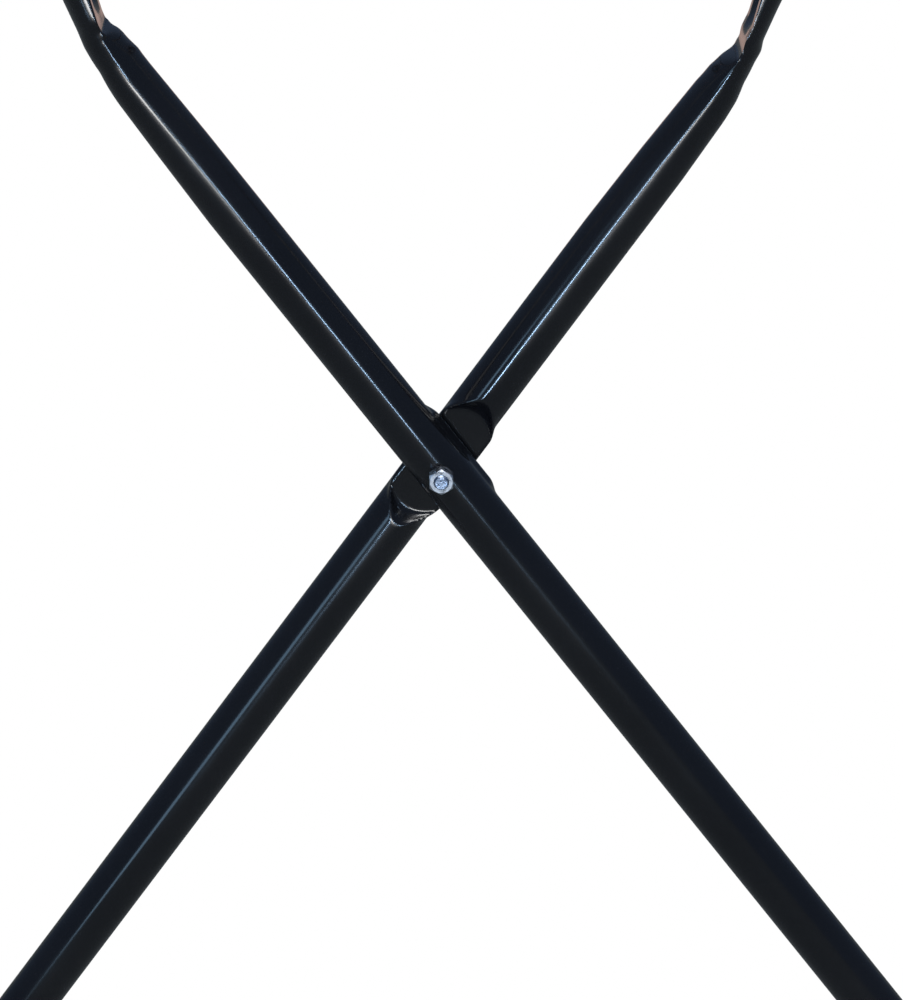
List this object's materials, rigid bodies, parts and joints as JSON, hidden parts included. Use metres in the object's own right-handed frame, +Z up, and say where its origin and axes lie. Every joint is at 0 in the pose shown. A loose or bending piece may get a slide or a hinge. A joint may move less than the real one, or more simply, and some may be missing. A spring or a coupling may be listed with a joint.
{
  "type": "hammock on stand",
  "caption": "Sling hammock hung between two long rails on a folding stand with a crossed bent-tube frame at each end.",
  "frame": {"origin": "middle of the footprint, on the floor", "axes": "+Y along the hammock, +Z up, +X across"},
  "size_m": [0.6162, 2.0054, 0.9553],
  "materials": {
    "frame_paint": "gloss",
    "zinc": "zinc plated",
    "black_plastic": "matte",
    "foot_rubber": "matte",
    "sling_cloth": "woven"
  },
  "bodies": {
    "outer_frame": {"rail_outer": "frame_paint", "floor_bar_outer": "frame_paint", "cross_tube_outer_front": "frame_paint", "rail_plug_outer_front": "black_plastic", "rail_bolt_outer_front": "zinc", "bar_plug_outer_front": "black_plastic", "bar_bolt_outer_front": "zinc", "rail_cap_outer_front": "black_plastic", "foot_outer_front": "foot_rubber", "cross_tube_outer_back": "frame_paint", "rail_plug_outer_back": "black_plastic", "rail_bolt_outer_back": "zinc", "bar_plug_outer_back": "black_plastic", "bar_bolt_outer_back": "zinc", "rail_cap_outer_back": "black_plastic", "foot_outer_back": "foot_rubber", "pivot_sleeve_front": "zinc", "pivot_spacer_front": "black_plastic", "pivot_nut_front": "zinc", "pivot_bolt_front": "zinc", "pivot_sleeve_back": "zinc", "pivot_spacer_back": "black_plastic", "pivot_nut_back": "zinc", "pivot_bolt_back": "zinc", "sling": "sling_cloth"},
    "inner_frame": {"rail_inner": "frame_paint", "floor_bar_inner": "frame_paint", "cross_tube_inner_front": "frame_paint", "rail_plug_inner_front": "black_plastic", "rail_bolt_inner_front": "zinc", "bar_plug_inner_front": "black_plastic", "bar_bolt_inner_front": "zinc", "rail_cap_inner_front": "black_plastic", "foot_inner_front": "foot_rubber", "cross_tube_inner_back": "frame_paint", "rail_plug_inner_back": "black_plastic", "rail_bolt_inner_back": "zinc", "bar_plug_inner_back": "black_plastic", "bar_bolt_inner_back": "zinc", "rail_cap_inner_back": "black_plastic", "foot_inner_back": "foot_rubber"}
  },
  "joints": [
    {"name": "fold", "type": "hinge", "parent": "outer_frame", "child": "inner_frame", "pos_m": [0, 0, 0.42], "axis": [0, 1, 0], "range_deg": [-26, 0], "deforming": ["sling"]}
  ]
}
